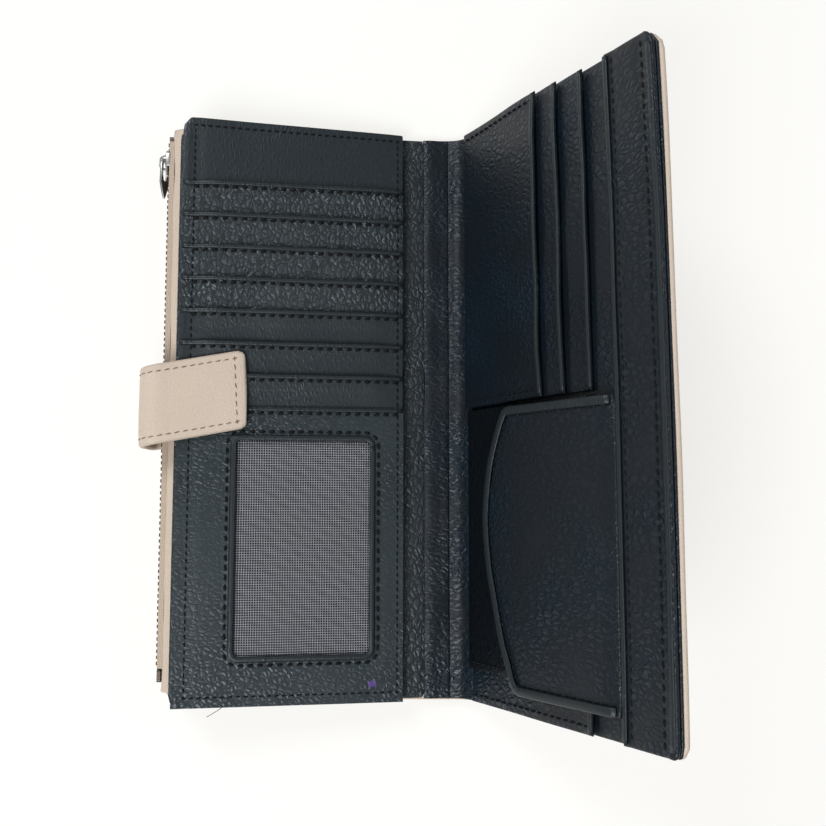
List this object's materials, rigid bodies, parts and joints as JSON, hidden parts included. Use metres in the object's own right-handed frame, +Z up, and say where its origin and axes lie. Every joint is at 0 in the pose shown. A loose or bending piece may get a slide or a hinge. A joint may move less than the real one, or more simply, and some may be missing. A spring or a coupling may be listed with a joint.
{
  "type": "zip wallet",
  "caption": "Long two-fold leather wallet lying open, with card slots, a mesh window, a flap pocket, a side zip pocket and a closing strap.",
  "frame": {"origin": "on the table plane under the middle of the spine cover", "axes": "+Y along the spine towards the end where the zip closes, +X towards the raised right half, +Z up off the table"},
  "size_m": [0.1619, 0.195, 0.0839],
  "materials": {
    "beige_leather": "fine-grained, semi-matt",
    "black_leather": "pebbled, soft sheen",
    "black_cloth": "plain lining cloth",
    "grey_net": "fine open net",
    "zip_tape": "woven tape",
    "dark_metal": "darkened zip teeth",
    "bright_metal": "polished cast metal"
  },
  "bodies": {
    "left_half": {"cover_left": "beige_leather", "bill_divider": "black_leather", "card_panel_backing": "black_cloth", "card_panel_header": "black_leather", "card_slot_1": "black_leather", "card_slot_2": "black_leather", "card_slot_3": "black_leather", "card_slot_4": "black_leather", "card_slot_5": "black_leather", "card_slot_6": "black_leather", "card_slot_7": "black_leather", "id_window_panel": "black_leather", "id_window_net": "grey_net", "zip_gusset_upper": "beige_leather", "zip_gusset_lower": "beige_leather", "pocket_end_top": "black_cloth", "pocket_end_bottom": "black_cloth", "zip_teeth_upper": "dark_metal", "zip_teeth_lower": "dark_metal", "zip_tape_upper": "zip_tape", "zip_tape_lower": "zip_tape", "zip_top_stop": "dark_metal", "zip_bottom_stop": "dark_metal", "strap_root": "beige_leather"},
    "spine": {"spine_cover": "beige_leather", "spine_lining": "black_leather"},
    "right_half": {"cover_right": "beige_leather", "cover_magnet": "bright_metal", "right_lining": "black_cloth", "outer_band": "black_leather", "upper_slot_1": "black_leather", "upper_slot_2": "black_leather", "upper_slot_3": "black_leather", "lower_slot": "black_leather", "coin_pocket": "black_leather"},
    "coin_flap": {"coin_flap": "black_leather"},
    "strap": {"strap_arm": "beige_leather", "strap_magnet": "bright_metal"},
    "zip_slider": {"zip_slider_front": "bright_metal", "zip_slider_back": "bright_metal"},
    "zip_puller": {"zip_puller": "bright_metal"}
  },
  "joints": [
    {"name": "left_fold", "type": "hinge", "parent": "left_half", "child": "spine", "pos_m": [-0.0069, 0, 0.0034], "axis": [0, -1, 0], "range_deg": [0, 88]},
    {"name": "right_fold", "type": "hinge", "parent": "spine", "child": "right_half", "pos_m": [0.00859, 0, 0.00313], "axis": [0, -1, 0], "range_deg": [-58, 25]},
    {"name": "coin_flap_lift", "type": "hinge", "parent": "right_half", "child": "coin_flap", "pos_m": [0.04528, -0.045, 0.06864], "axis": [0, -1, 0], "range_deg": [-100, 0]},
    {"name": "strap_swing", "type": "hinge", "parent": "left_half", "child": "strap", "pos_m": [-0.10215, 0, 0.01475], "axis": [0, -1, 0], "range_deg": [0, 170]},
    {"name": "zip_slide", "type": "slide", "parent": "left_half", "child": "zip_slider", "axis": [0, 1, 0], "range_m": [-0.163, 0.0025]},
    {"name": "puller_swing", "type": "hinge", "parent": "zip_slider", "child": "zip_puller", "pos_m": [-0.09835, 0.0873, 0.0095], "axis": [0, 0, -1], "range_deg": [0, 175]}
  ]
}
